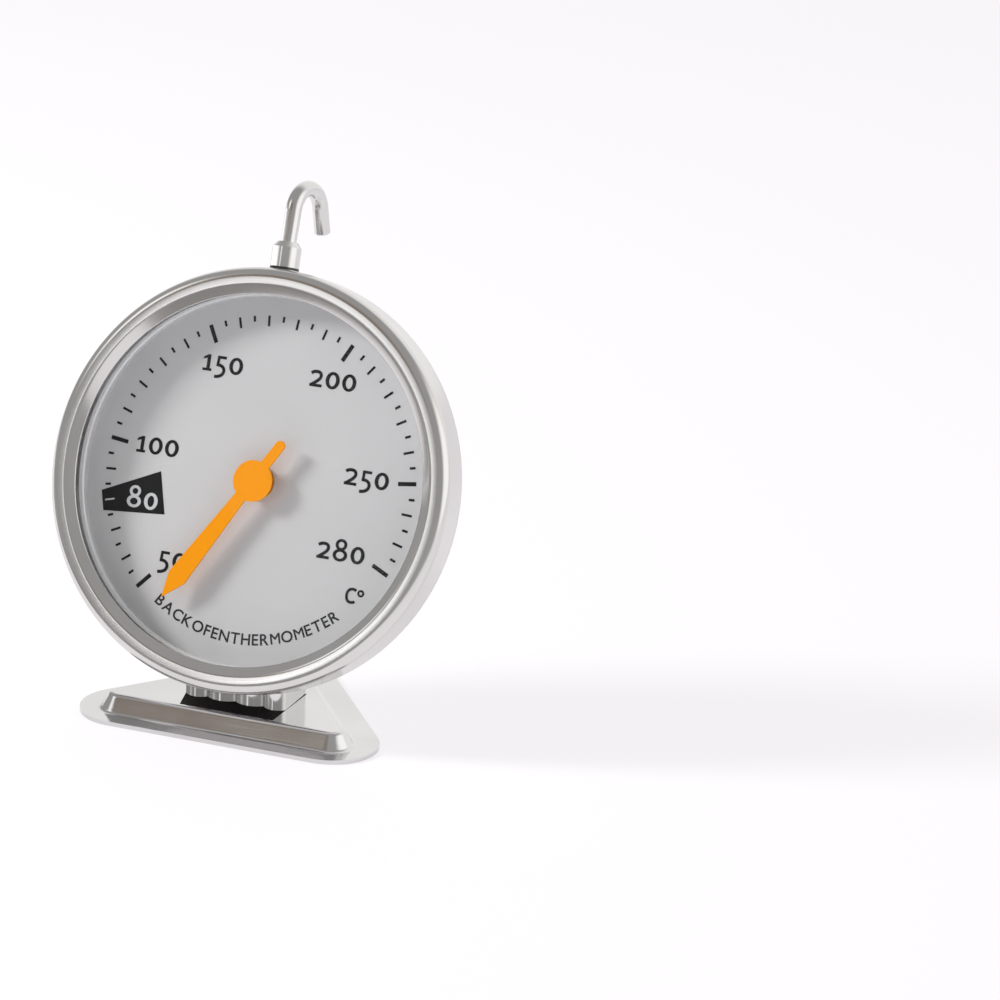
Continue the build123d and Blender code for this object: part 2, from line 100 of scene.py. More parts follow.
def add_world():
    """A grey studio with soft bright walls and windows, white behind whatever the camera sees."""
    world = bpy.data.worlds.new("studio")
    bpy.context.scene.world = world
    world.use_nodes = True
    tree = world.node_tree
    tree.nodes.clear()
    add = tree.nodes.new
    link = tree.links.new
    coords = add("ShaderNodeTexCoord")
    level = None
    for azimuth, elevation, full, outer, bright in STUDIO_GLOWS:
        dot = add("ShaderNodeVectorMath")
        dot.operation = "DOT_PRODUCT"
        dot.inputs[1].default_value = compass(azimuth, elevation)
        link(coords.outputs["Generated"], dot.inputs[0])
        ramp = add("ShaderNodeMapRange")
        ramp.interpolation_type = "SMOOTHSTEP"
        ramp.inputs["From Min"].default_value = math.cos(math.radians(outer))
        ramp.inputs["From Max"].default_value = math.cos(math.radians(full))
        ramp.inputs["To Min"].default_value = ROOM_GREY
        ramp.inputs["To Max"].default_value = bright
        link(dot.outputs["Value"], ramp.inputs["Value"])
        if level is None:
            level = ramp.outputs["Result"]
        else:
            larger = add("ShaderNodeMath")
            larger.operation = "MAXIMUM"
            link(level, larger.inputs[0])
            link(ramp.outputs["Result"], larger.inputs[1])
            level = larger.outputs["Value"]
    studio = add("ShaderNodeBackground")
    link(level, studio.inputs["Strength"])
    studio.inputs["Color"].default_value = ROOM_COLOUR
    backdrop = add("ShaderNodeBackground")
    backdrop.inputs["Strength"].default_value = BACKDROP_WHITE
    path = add("ShaderNodeLightPath")
    mix = add("ShaderNodeMixShader")
    out = add("ShaderNodeOutputWorld")
    link(path.outputs["Is Camera Ray"], mix.inputs[0])
    link(studio.outputs[0], mix.inputs[1])
    link(backdrop.outputs[0], mix.inputs[2])
    link(mix.outputs[0], out.inputs["Surface"])


KEY_FROM = compass(-68.9, 29.7)
KEY_DISTANCE = 0.9
KEY_SIZE = 0.21
KEY_POWER = 6.8
KEY_COLOUR = (1.0, 0.99, 0.975)


def add_key_light():
    """The window that lights the dial: soft, from the upper left, seen in no mirror."""
    data = bpy.data.lights.new("key", "AREA")
    data.shape = "DISK"
    data.size = KEY_SIZE
    data.energy = KEY_POWER
    data.color = KEY_COLOUR
    key = bpy.data.objects.new("key", data)
    bpy.context.scene.collection.objects.link(key)
    turn = KEY_FROM.to_track_quat("Z", "Y").to_matrix().to_4x4()
    key.matrix_world = Matrix.Translation(CREST + KEY_FROM * KEY_DISTANCE) @ turn
    key.visible_glossy = False
    key.visible_camera = False


FLOOR_HALF = 8.0
FLOOR_COLOUR = (0.32, 0.315, 0.325)
FLOOR_ROUGHNESS = 0.9
FLOOR_GLOW_COLOUR = (1.0, 0.975, 1.0)
FLOOR_GLOW = 0.70
TABLE_EDGES = (-1.2, 0.02, -1.4, -0.075)     # left, right, near and far edges of the dark table
TABLE_LIFT = 0.2 * MM
TABLE_COLOUR = (1.03, 1.0, 0.965)
TABLE_GLOW = 0.30
WHITE = (1.0, 1.0, 1.0)

# Outlines of the upright cards in front of the object, in x and z.
WINDOW_Y = -0.60
WINDOW_OUTLINE = ((-0.31, 0.385), (-0.31, 0.30), (-0.255, 0.235), (-0.20, 0.235), (-0.20, 0.385))
WINDOW_GLOW = 1.45
SILL_OUTLINE = ((-0.255, 0.235), (-0.245, 0.13), (-0.19, 0.13), (-0.19, 0.235))
SILL_GLOW = 2.3
CURTAIN_OUTLINE = ((-0.55, 0.80), (-0.55, 0.40), (0.0, 0.40), (0.0, 0.80))
CURTAIN_COLOUR = (0.285, 0.237, 0.198)

# Outline of the upright card to the left of the object, in y and z.
SHELF_X = -0.12
SHELF_OUTLINE = (
    (-0.125, 0.095), (-0.125, 0.14), (-0.02, 0.115), (0.06, 0.10), (0.06, 0.07), (-0.02, 0.083)
)
SHELF_GLOW = 1.1
SHELF_MIRRORS = ("hook_wire", "hook_ferrule")


def flat_sheet(name, corners):
    """One flat face that belongs to the stage, not to the object."""
    mesh = bpy.data.meshes.new(name)
    mesh.from_pydata(corners, [], [range(len(corners))])
    sheet = bpy.data.objects.new(name, mesh)
    bpy.context.scene.collection.objects.link(sheet)
    return sheet


def mirrored_sheet(name, corners):
    """A sheet that only mirrors see; it shades and lights nothing."""
    sheet = flat_sheet(name, corners)
    sheet.visible_camera = False
    sheet.visible_diffuse = False
    sheet.visible_transmission = False
    sheet.visible_shadow = False
    return sheet


def glow_card(name, corners, colour, strength):
    """A card of plain light that hides what is behind it."""
    card = mirrored_sheet(name, corners)
    material, tree, shader = new_material(name)
    shader.inputs["Base Color"].default_value = (0, 0, 0, 1)
    shader.inputs["Specular IOR Level"].default_value = 0.0
    shader.inputs["Emission Color"].default_value = (*colour, 1)
    shader.inputs["Emission Strength"].default_value = strength
    card.data.materials.append(material)


def add_floor():
    """A white floor that glows a little, so that its shadows stay pale."""
    half = FLOOR_HALF
    floor = flat_sheet("floor", [(-half, -half, 0), (half, -half, 0), (half, half, 0), (-half, half, 0)])
    material, tree, shader = new_material("floor_paper")
    shader.inputs["Base Color"].default_value = (*FLOOR_COLOUR, 1)
    shader.inputs["Roughness"].default_value = FLOOR_ROUGHNESS
    shader.inputs["Specular IOR Level"].default_value = 0.0
    shader.inputs["Emission Color"].default_value = (*FLOOR_GLOW_COLOUR, 1)
    shader.inputs["Emission Strength"].default_value = FLOOR_GLOW
    floor.data.materials.append(material)


def add_room():
    """What the polished steel mirrors in front: a dark table, a window and its sill, a curtain."""
    left, right, near, far = TABLE_EDGES
    table = [(x, y, TABLE_LIFT) for x, y in ((left, near), (right, near), (right, far), (left, far))]
    glow_card("table_edge", table, TABLE_COLOUR, TABLE_GLOW)
    glow_card("window", [(x, WINDOW_Y, z) for x, z in WINDOW_OUTLINE], WHITE, WINDOW_GLOW)
    glow_card("sill", [(x, WINDOW_Y, z) for x, z in SILL_OUTLINE], WHITE, SILL_GLOW)
    glow_card("curtain", [(x, WINDOW_Y, z) for x, z in CURTAIN_OUTLINE], CURTAIN_COLOUR, 1.0)


def add_shelf():
    """A light to the left that only the polished hook mirrors; all else sees through it."""
    shelf = mirrored_sheet("shelf", [(SHELF_X, y, z) for y, z in SHELF_OUTLINE])
    material, tree, shader = new_material("shelf")
    tree.nodes.remove(shader)
    clear = tree.nodes.new("ShaderNodeBsdfTransparent")
    glow = tree.nodes.new("ShaderNodeEmission")
    glow.inputs["Strength"].default_value = SHELF_GLOW
    both = tree.nodes.new("ShaderNodeAddShader")
    tree.links.new(clear.outputs[0], both.inputs[0])
    tree.links.new(glow.outputs[0], both.inputs[1])
    tree.links.new(both.outputs[0], tree.nodes["Material Output"].inputs["Surface"])
    shelf.data.materials.append(material)
    mirrors = bpy.data.collections.new("shelf_mirrors")
    for name in SHELF_MIRRORS:
        mirrors.objects.link(nodes[name])
    shelf.light_linking.receiver_collection = mirrors


# ---------------------------------------------------------------- materials

RING_DRIFT = 0.006           # how far the place itself enters the turned rings
GLASS_IOR = 1.2              # below real glass: a full mirror would wash out the dial
GLASS_TINT = (0.985, 0.99, 0.99)
GLASS_HAZE = 60              # noise cells a metre
DIAL_DARK, DIAL_LIGHT = (0.622, 0.616, 0.630), (0.700, 0.693, 0.708)
DIAL_METAL = 0.15
DIAL_FLAKES = 9000           # noise cells a metre
DIAL_CLOUDS = 45
DIAL_RELIEF = 0.004 * MM


def new_material(name):
    """A material, its node tree and its shader node."""
    material = bpy.data.materials.new(name)
    material.use_nodes = True
    tree = material.node_tree
    shader = tree.nodes["Principled BSDF"]
    return material, tree, shader


def mapped(tree, stretch, turned=False):
    """Object coordinates multiplied by stretch, per metre. Turned ones are (radius, depth, 0) of the
    case, with a little of the place itself so that the rings are not perfect."""
    coords = tree.nodes.new("ShaderNodeTexCoord").outputs["Object"]
    if turned:
        local = tree.nodes.new("ShaderNodeVectorMath")
        local.operation = "SUBTRACT"
        local.inputs[1].default_value = CREST
        tree.links.new(coords, local.inputs[0])
        depth = tree.nodes.new("ShaderNodeVectorMath")
        depth.operation = "DOT_PRODUCT"
        depth.inputs[1].default_value = DIAL_OUT
        tree.links.new(local.outputs["Vector"], depth.inputs[0])
        across = tree.nodes.new("ShaderNodeVectorMath")
        across.operation = "CROSS_PRODUCT"
        across.inputs[1].default_value = DIAL_OUT
        tree.links.new(local.outputs["Vector"], across.inputs[0])
        radius = tree.nodes.new("ShaderNodeVectorMath")
        radius.operation = "LENGTH"
        tree.links.new(across.outputs["Vector"], radius.inputs[0])
        join = tree.nodes.new("ShaderNodeCombineXYZ")
        tree.links.new(radius.outputs["Value"], join.inputs["X"])
        tree.links.new(depth.outputs["Value"], join.inputs["Y"])
        drift = tree.nodes.new("ShaderNodeVectorMath")
        drift.operation = "MULTIPLY_ADD"
        drift.inputs[1].default_value = (RING_DRIFT,) * 3
        tree.links.new(local.outputs["Vector"], drift.inputs[0])
        tree.links.new(join.outputs["Vector"], drift.inputs[2])
        coords = drift.outputs["Vector"]
    scale = tree.nodes.new("ShaderNodeVectorMath")
    scale.operation = "MULTIPLY"
    scale.inputs[1].default_value = stretch
    tree.links.new(coords, scale.inputs[0])
    return scale.outputs["Vector"]


def noise(tree, vector, detail=2.0, rough=0.5):
    """Noise from 0 to 1 with one cell for each unit of the vector."""
    node = tree.nodes.new("ShaderNodeTexNoise")
    node.inputs["Scale"].default_value = 1.0
    node.inputs["Detail"].default_value = detail
    node.inputs["Roughness"].default_value = rough
    tree.links.new(vector, node.inputs["Vector"])
    return node.outputs["Fac"]


def ranged(tree, value, low, high, start=0.3, end=0.7):
    """A number that goes from low to high as value goes from start to end."""
    node = tree.nodes.new("ShaderNodeMapRange")
    node.inputs["From Min"].default_value = start
    node.inputs["From Max"].default_value = end
    node.inputs["To Min"].default_value = low
    node.inputs["To Max"].default_value = high
    tree.links.new(value, node.inputs["Value"])
    return node.outputs["Result"]


def tinted(tree, value, dark, light, start=0.3, end=0.7):
    """A colour that goes from dark to light as value goes from start to end."""
    node = tree.nodes.new("ShaderNodeValToRGB")
    node.color_ramp.elements[0].position = start
    node.color_ramp.elements[0].color = (*dark, 1)
    node.color_ramp.elements[1].position = end
    node.color_ramp.elements[1].color = (*light, 1)
    tree.links.new(value, node.inputs["Fac"])
    return node.outputs["Color"]


def bumped(tree, shader, height, distance):
    """Relief of one distance, in metres, from lowest to highest."""
    node = tree.nodes.new("ShaderNodeBump")
    node.inputs["Strength"].default_value = 1.0
    node.inputs["Distance"].default_value = distance
    tree.links.new(height, node.inputs["Height"])
    tree.links.new(node.outputs["Normal"], shader.inputs["Normal"])


def steel(name, grain, turned, dark, light, smooth, rough, bump, smudge=90, metal=1.0):
    """Metal with a fine drawn or turned grain of bump millimetres, and broad changes of polish."""
    material, tree, shader = new_material(name)
    shader.inputs["Metallic"].default_value = metal
    fine = noise(tree, mapped(tree, grain, turned), detail=3.0, rough=0.6)
    broad = noise(tree, mapped(tree, (smudge,) * 3), detail=3.0)
    tree.links.new(tinted(tree, broad, dark, light), shader.inputs["Base Color"])
    polish = tree.nodes.new("ShaderNodeMath")
    polish.operation = "ADD"
    tree.links.new(ranged(tree, broad, smooth, (smooth + rough) / 2), polish.inputs[0])
    tree.links.new(ranged(tree, fine, 0, (rough - smooth) / 2), polish.inputs[1])
    tree.links.new(polish.outputs["Value"], shader.inputs["Roughness"])
    bumped(tree, shader, fine, bump * MM)
    return material


def glass():
    """A clear pane that mirrors as glass does on the way in, and lets light through unbent."""
    material, tree, shader = new_material("lens_glass")
    tree.nodes.remove(shader)
    clear = tree.nodes.new("ShaderNodeBsdfTransparent")
    clear.inputs["Color"].default_value = (*GLASS_TINT, 1)
    mirror = tree.nodes.new("ShaderNodeBsdfGlossy")
    mirror.inputs["Color"].default_value = (*WHITE, 1)
    haze = noise(tree, mapped(tree, (GLASS_HAZE,) * 3), detail=3.0)
    tree.links.new(ranged(tree, haze, 0.01, 0.06), mirror.inputs["Roughness"])
    fresnel = tree.nodes.new("ShaderNodeFresnel")
    fresnel.inputs["IOR"].default_value = GLASS_IOR
    side = tree.nodes.new("ShaderNodeNewGeometry")
    front = tree.nodes.new("ShaderNodeMath")
    front.operation = "SUBTRACT"
    front.inputs[0].default_value = 1.0
    tree.links.new(side.outputs["Backfacing"], front.inputs[1])
    share = tree.nodes.new("ShaderNodeMath")
    share.operation = "MULTIPLY"
    tree.links.new(fresnel.outputs["Fac"], share.inputs[0])
    tree.links.new(front.outputs["Value"], share.inputs[1])
    mix = tree.nodes.new("ShaderNodeMixShader")
    tree.links.new(share.outputs["Value"], mix.inputs[0])
    tree.links.new(clear.outputs[0], mix.inputs[1])
    tree.links.new(mirror.outputs[0], mix.inputs[2])
    tree.links.new(mix.outputs[0], tree.nodes["Material Output"].inputs["Surface"])
    return material


def dial_paint():
    """Satin silver paint: fine metal flake under a dull surface."""
    material, tree, shader = new_material("dial_face")
    flake = noise(tree, mapped(tree, (DIAL_FLAKES,) * 3), detail=1.0)
    clouds = noise(tree, mapped(tree, (DIAL_CLOUDS,) * 3))
    tone = tree.nodes.new("ShaderNodeMath")
    tone.operation = "MULTIPLY_ADD"
    tone.inputs[1].default_value = 0.5
    tree.links.new(flake, tone.inputs[0])
    tree.links.new(ranged(tree, clouds, 0.15, 0.35), tone.inputs[2])
    colour = tinted(tree, tone.outputs["Value"], DIAL_DARK, DIAL_LIGHT)
    tree.links.new(colour, shader.inputs["Base Color"])
    shader.inputs["Metallic"].default_value = DIAL_METAL
    tree.links.new(ranged(tree, flake, 0.42, 0.58), shader.inputs["Roughness"])
    bumped(tree, shader, flake, DIAL_RELIEF)
    return material


def enamel(name, dark, light, smooth, rough, specular=0.25, grain=2500, bump=0.004):
    """Paint, printed ink or the black sheet of painted shade, a little uneven in tone and gloss; bump in
    millimetres.
    """
    material, tree, shader = new_material(name)
    fine = noise(tree, mapped(tree, (grain,) * 3))
    tree.links.new(tinted(tree, fine, dark, light), shader.inputs["Base Color"])
    tree.links.new(ranged(tree, fine, smooth, rough), shader.inputs["Roughness"])
    shader.inputs["Specular IOR Level"].default_value = specular
    bumped(tree, shader, fine, bump * MM)
    return material


# Grain is in noise cells a metre along x, y and z, or along radius and depth where it is turned.
TURNED = (5200, 5200, 900)
ALONG_X = (140, 5200, 5200)
ALONG_UP = (3800, 3800, 260)
EVEN = (2600, 2600, 2600)

# Grain, turned or not, dark and light tone, least and greatest roughness, depth of the grain in
# millimetres, and where they are not the usual ones, smudges a metre and share of metal.
METALS = {
    "bezel_steel": (TURNED, True, (0.665, 0.655, 0.645), (0.700, 0.692, 0.684), 0.13, 0.20, 0.0005),
    "cover_steel": (TURNED, True, (0.690, 0.685, 0.680), (0.715, 0.711, 0.707), 0.25, 0.31, 0.0003),
    "base_steel": (ALONG_X, False, (0.630, 0.625, 0.627), (0.695, 0.690, 0.694), 0.07, 0.17, 0.0014, 60),
    "bracket_steel": (ALONG_UP, False, (0.700, 0.694, 0.696), (0.745, 0.740, 0.742), 0.08, 0.14, 0.0005),
    "rivet_steel": (EVEN, False, (0.600, 0.595, 0.590), (0.700, 0.696, 0.692), 0.16, 0.30, 0.002),
    "spacer_steel": (
        TURNED, True, (0.800, 0.808, 0.822), (0.840, 0.848, 0.862), 0.18, 0.30, 0.0005, 90, 0.4
    ),
    "hook_steel": (ALONG_UP, False, (0.675, 0.668, 0.662), (0.720, 0.715, 0.710), 0.14, 0.22, 0.0008),
    "ferrule_steel": (
        (4200, 4200, 500), False, (0.665, 0.658, 0.652), (0.720, 0.714, 0.708), 0.12, 0.20, 0.0008
    ),
    "inner_steel": (
        (900, 900, 5200), False, (0.540, 0.535, 0.530), (0.640, 0.635, 0.630), 0.25, 0.42, 0.003
    ),
    "washer_steel": (EVEN, False, (0.070, 0.067, 0.064), (0.120, 0.115, 0.110), 0.38, 0.55, 0.003),
    "brass": (TURNED, True, (0.720, 0.520, 0.230), (0.830, 0.630, 0.320), 0.18, 0.34, 0.001),
    "bimetal": (TURNED, True, (0.500, 0.440, 0.360), (0.640, 0.590, 0.520), 0.24, 0.40, 0.001, 400),
}

METAL_OF_NODE = {
    "base_plate": "base_steel",
    "stand_bracket": "bracket_steel",
    "foot_rivets": "rivet_steel",
    "saddle_rivets": "rivet_steel",
    "bezel_ring": "bezel_steel",
    "back_cover": "cover_steel",
    "spacer_ring": "spacer_steel",
    "support_ring": "inner_steel",
    "movement_strap": "inner_steel",
    "anchor_post": "inner_steel",
    "shaft_clip": "inner_steel",
    "pointer_shaft": "inner_steel",
    "hook_retainer": "inner_steel",
    "hook_washer": "washer_steel",
    "centre_bush": "brass",
    "bush_nut": "brass",
    "rear_bearing": "brass",
    "coil_collet": "brass",
    "bimetal_coil": "bimetal",
    "hook_wire": "hook_steel",
    "hook_ferrule": "ferrule_steel",
}

ORANGE_DARK, ORANGE_LIGHT = (0.950, 0.322, 0.0005), (0.975, 0.342, 0.001)


def dress_nodes():
    """Give every CAD node its own material."""
    metals = {name: steel(name, *finish) for name, finish in METALS.items()}
    orange = enamel("pointer_paint", ORANGE_DARK, ORANGE_LIGHT, 0.40, 0.52, specular=0.15)
    looks = {node: metals[metal] for node, metal in METAL_OF_NODE.items()}
    looks["glass_lens"] = glass()
    looks["dial_plate"] = dial_paint()
    looks["pointer"] = orange
    looks["pointer_hub"] = orange
    for name, material in looks.items():
        for slot in nodes[name].material_slots:
            slot.material = material
    add_rings(metals["bezel_steel"], metals["spacer_steel"])


# ---------------------------------------------------------------- turned steel rings

# Sections as in the CAD, in millimetres: radius, and depth behind the crest of the bezel.
CASE_R = 39.0
EDGE_R = 2.0
RING_REAR = 7.90
SHEET = 0.6
APERTURE_R = 34.0
CREST_IN_R = 36.1
CREST_BEND_R = 1.2
LIP_SLOPE = math.radians(32)
INNER_R = 37.3
SPACER_FRONT, SPACER_REAR = 3.35, 7.0
SPACER_R = 34.3
SPACER_T = 0.4
BEAD_DEPTH, BEAD_HALF, BEAD_RISE = 5.3, 0.6, 0.35
RING_SEGMENTS = 384
ARC_STEP = math.radians(5)


def swept(centre, radius, start, end):
    """Points of an arc of a section; angle 0 points outwards and a quarter turn forwards."""
    steps = max(2, round(abs(end - start) / ARC_STEP))
    angles = [start + (end - start) * i / steps for i in range(steps + 1)]
    return [(centre[0] + radius * math.cos(a), centre[1] - radius * math.sin(a)) for a in angles]


def bezel_section():
    """The band, the rolled front edge and the sloping lip, and which points are corners."""
    quarter = math.pi / 2
    edge_centre = (CASE_R - EDGE_R, EDGE_R)
    bend_centre = (CREST_IN_R, CREST_BEND_R)
    outside = swept(edge_centre, EDGE_R, 0, quarter)
    outside += swept(bend_centre, CREST_BEND_R, quarter, quarter + LIP_SLOPE)
    inside = swept(bend_centre, CREST_BEND_R - SHEET, quarter + LIP_SLOPE, quarter)
    inside += swept(edge_centre, EDGE_R - SHEET, quarter, 0)
    bend_r, bend_depth = outside[-1]
    run = bend_r - APERTURE_R - SHEET / 2 * (1 - math.sin(LIP_SLOPE))
    tip_out = (bend_r - run, bend_depth + run * math.tan(LIP_SLOPE))
    tip_centre = (
        tip_out[0] + SHEET / 2 * math.sin(LIP_SLOPE),
        tip_out[1] + SHEET / 2 * math.cos(LIP_SLOPE),
    )
    tip = swept(tip_centre, SHEET / 2, quarter + LIP_SLOPE, 3 * quarter + LIP_SLOPE)
    rear = [(CASE_R - SHEET, RING_REAR), (CASE_R, RING_REAR)]
    section = outside + tip + inside + rear
    return section, (len(section) - 2, len(section) - 1)


def spacer_section():
    """A channel open to the outside with a bead in its wall, and which points are corners."""
    ball_r = (BEAD_HALF**2 + BEAD_RISE**2) / (2 * BEAD_RISE)
    reach = math.asin(BEAD_HALF / ball_r)
    centre = (SPACER_R - BEAD_RISE + ball_r, BEAD_DEPTH)
    bead = swept(centre, ball_r, math.pi - reach, math.pi + reach)
    wall = SPACER_R + SPACER_T
    front, rear = SPACER_FRONT, SPACER_REAR
    section = [(INNER_R, front), (SPACER_R, front)] + bead + [(SPACER_R, rear), (INNER_R, rear)]
    section += [(INNER_R, rear - SPACER_T), (wall, rear - SPACER_T)]
    section += [(wall, front + SPACER_T), (INNER_R, front + SPACER_T)]
    on_bead = range(3, 1 + len(bead))
    return section, [i for i in range(len(section)) if i not in on_bead]


def lathed(name, node, section, sharp, material):
    """A section spun round the dial's axis, smooth all round, in place of a CAD ring. The points of
    the section whose numbers are in sharp keep their edge."""
    mesh = bpy.data.meshes.new(name)
    count = len(section)
    points, faces = [], []
    for turn in range(RING_SEGMENTS):
        angle = 2 * math.pi * turn / RING_SEGMENTS
        points += [(r * MM * math.cos(angle), r * MM * math.sin(angle), -d * MM) for r, d in section]
        here = turn * count
        after = (turn + 1) % RING_SEGMENTS * count
        for i in range(count):
            j = (i + 1) % count
            faces.append((here + i, after + i, after + j, here + j))
    mesh.from_pydata(points, [], faces)
    mesh.transform(CASE_MATRIX)
    built = bmesh.new()
    built.from_mesh(mesh)
    bmesh.ops.recalc_face_normals(built, faces=built.faces)
    for face in built.faces:
        face.smooth = True
    for edge in built.edges:
        a, b = (vertex.index % count for vertex in edge.verts)
        edge.smooth = not (a == b and a in sharp)
    built.to_mesh(mesh)
    built.free()
    mesh.materials.append(material)
    piece = bpy.data.objects.new(name, mesh)
    bpy.context.scene.collection.objects.link(piece)
    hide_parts(node)
    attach(piece, "case")


def add_rings(bezel_steel, spacer_steel):
    """The bezel and the spacer again, finer than the CAD's facets so that they mirror cleanly."""
    section, corners = bezel_section()
    lathed("bezel_spun", "bezel_ring", section, corners, bezel_steel)
    section, corners = spacer_section()
    lathed("spacer_spun", "spacer_ring", section, corners, spacer_steel)


# ---------------------------------------------------------------- painted shade under the bracket

# In millimetres, standing on the base: the black sheet of painted shade, and the line of the bracket's
# front above it.
FOOT_SHADE_Z = 4.0               # top of the base
FOOT_SHADE_T = 0.08
FOOT_SHADE_FRONT_Y = -17.0
FOOT_SHADE_FRONT_LEFT, FOOT_SHADE_FRONT_RIGHT = -8.7, 9.9
FOOT_SHADE_SHOW = 0.28           # shows this far outside the bracket's sides
# Near-black tones of the painted shade in front of the bracket's foot.
FOOT_SHADE_DARK, FOOT_SHADE_PALE = (0.006, 0.005, 0.005), (0.014, 0.012, 0.012)
FLUTE_EDGES = (-10.05, -5.6, 0.0, 5.6, 10.05)
FLUTE_VALLEY_Y = -11.43
FLUTE_RISE = 1.1
BRACKET_REAR_Y = -2.3
FLUTE_STEPS = 16


def flute_line():
    """Points along the foot of the fluted front, from left to right, in millimetres."""
    points = []
    for a, b in zip(FLUTE_EDGES, FLUTE_EDGES[1:]):
        half = (b - a) / 2
        radius = (half * half + FLUTE_RISE**2) / (2 * FLUTE_RISE)
        for step in range(FLUTE_STEPS):
            x = half * (2 * step / FLUTE_STEPS - 1)
            rise = math.sqrt(radius * radius - x * x) - (radius - FLUTE_RISE)
            points.append((a + half + x, FLUTE_VALLEY_Y - rise))
    return points + [(FLUTE_EDGES[-1], FLUTE_VALLEY_Y)]


def add_gasket():
    """Thin black sheet of painted shade that shows in front of the bracket's foot and as a line along
    its sides; it stands for the shade and dark reflection on the polished base, and mirrors do not see
    it.
    """
    inner = flute_line()
    side = FLUTE_EDGES[-1]
    inner = [(-side, BRACKET_REAR_Y)] + inner + [(side, BRACKET_REAR_Y)]
    outer = [(-side - FOOT_SHADE_SHOW, BRACKET_REAR_Y)]
    across = (FOOT_SHADE_FRONT_RIGHT - FOOT_SHADE_FRONT_LEFT) / (2 * side)
    outer += [(FOOT_SHADE_FRONT_LEFT + (x + side) * across, FOOT_SHADE_FRONT_Y) for x, y in inner[1:-1]]
    outer += [(side + FOOT_SHADE_SHOW, BRACKET_REAR_Y)]
    mesh = bpy.data.meshes.new("painted_foot_shade")
    count = len(inner)
    upper = 2 * count            # the first point of the upper side
    points = []
    for z in (FOOT_SHADE_Z, FOOT_SHADE_Z + FOOT_SHADE_T):
        points += [(x * MM, y * MM, z * MM) for x, y in inner + outer]
    faces = []
    for i in range(count - 1):
        quad = (i, i + 1, count + i + 1, count + i)
        faces.append(quad)
        faces.append(tuple(upper + n for n in quad[::-1]))
    rim = list(range(count)) + list(range(upper - 1, count - 1, -1))
    for a, b in zip(rim, rim[1:] + rim[:1]):
        faces.append((a, b, upper + b, upper + a))
    mesh.from_pydata(points, [], faces)
    built = bmesh.new()
    built.from_mesh(mesh)
    bmesh.ops.recalc_face_normals(built, faces=built.faces)
    built.to_mesh(mesh)
    built.free()
    # Black paint that stands for the shade on the base in front of the bracket's foot.
    shade_paint = enamel(
        "painted_shade_black", FOOT_SHADE_DARK, FOOT_SHADE_PALE, 0.55, 0.75, specular=0.12, grain=1500, bump=0.02
    )
    mesh.materials.append(shade_paint)
    piece = bpy.data.objects.new("painted_foot_shade", mesh)
    bpy.context.scene.collection.objects.link(piece)
    piece.visible_glossy = False
    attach(piece, "case")


# ---------------------------------------------------------------- dial print

PRINT_T = 0.03 * MM          # thickness of the ink
PRINT_GAP = 0.004 * MM       # between the dial and the ink, and from one stroke to the next
PRINT_LEVELS = 3             # strokes that may overlap lie on levels of their own
MERGE_GAP = PRINT_GAP / 40   # points closer than this are one
CURVE_STEPS = 10
PEN = 0.60                   # width of the digits' strokes
THIN_PEN = 0.54

FIRST_MARK, LAST_MARK, MARK_STEP = 50, 280, 5
TOP_MARK = 175               # the temperature at the top of the dial
DEGREES_PER_MARK = 1.1       # of dial, for one degree of temperature
MAJOR_MARKS = (50, 100, 150, 200, 250, 280)
FLAG_MARK = 80
MAJOR_TICK = (27.2, 30.7, 0.76)      # inner radius, outer radius, width
MEDIUM_TICK = (28.6, 30.6, 0.44)
SHORT_TICK = (29.5, 30.6, 0.44)
FLAG_TICK = (28.85, 30.75, 0.30)

FLAG_OUTER_R, FLAG_OUTER_HALF = 31.3, 1.9
FLAG_INNER_R, FLAG_INNER_HALF = 19.1, 4.03

NUMBERS = {                  # left end and baseline of each number
    "150": (-14.60, 18.80),
    "200": (6.80, 18.80),
    "100": (-25.20, 2.05),
    "250": (16.46, 2.03),
    "280": (13.42, -11.95),
    "50": (-17.27, -18.35),
    "80": (-25.40, -8.20),
}
GLYPH_ADVANCE = {"0": 3.27, "1": 2.50, "2": 3.16, "5": 2.82, "8": 3.46}

LETTERING = "BACKOFENTHERMOMETER"
LETTER_BASE_R = 29.95
LETTER_SIZE = 2.93
LETTER_BOLD = 0.045
POINTED_LETTERS = "M"        # their outlines cannot be fattened, so they are printed twice
POINTED_SHIFT = (LETTER_BOLD * 1.6, LETTER_BOLD / 2)    # of the second print, right and up
LETTER_FIRST, LETTER_LAST = math.radians(-32.7), math.radians(40.1)   # from the bottom of the dial

UNIT_LEFT, UNIT_BASE = 20.2, -19.2


def ellipse(centre, half_w, half_h, steps=48):
    turns = [2 * math.pi * i / steps for i in range(steps)]
    return [(centre[0] + half_w * math.cos(t), centre[1] + half_h * math.sin(t)) for t in turns]


def bar(left, right, low, high):
    return [(left, low), (right, low), (right, high), (left, high)]


def bezier(points):
    """Points on a chain of cubic curves: an end, two handles, an end, two handles and so on."""
    path = [Vector(points[0])]
    for i in range(0, len(points) - 3, 3):
        a, b, c, d = (Vector(p) for p in points[i:i + 4])
        for step in range(1, CURVE_STEPS + 1):
            t = step / CURVE_STEPS
            s = 1 - t
            path.append(a * s**3 + b * (3 * s * s * t) + c * (3 * s * t * t) + d * t**3)
    return path


def stroke(points, width):
    """The outline of a pen stroke of one width along a chain of cubic curves."""
    path = bezier(points)
    left, right = [], []
    for i, point in enumerate(path):
        along = (path[min(i + 1, len(path) - 1)] - path[max(i - 1, 0)]).normalized()
        side = Vector((-along.y, along.x)) * width / 2
        left.append(tuple(point + side))
        right.append(tuple(point - side))
    return left + right[::-1]


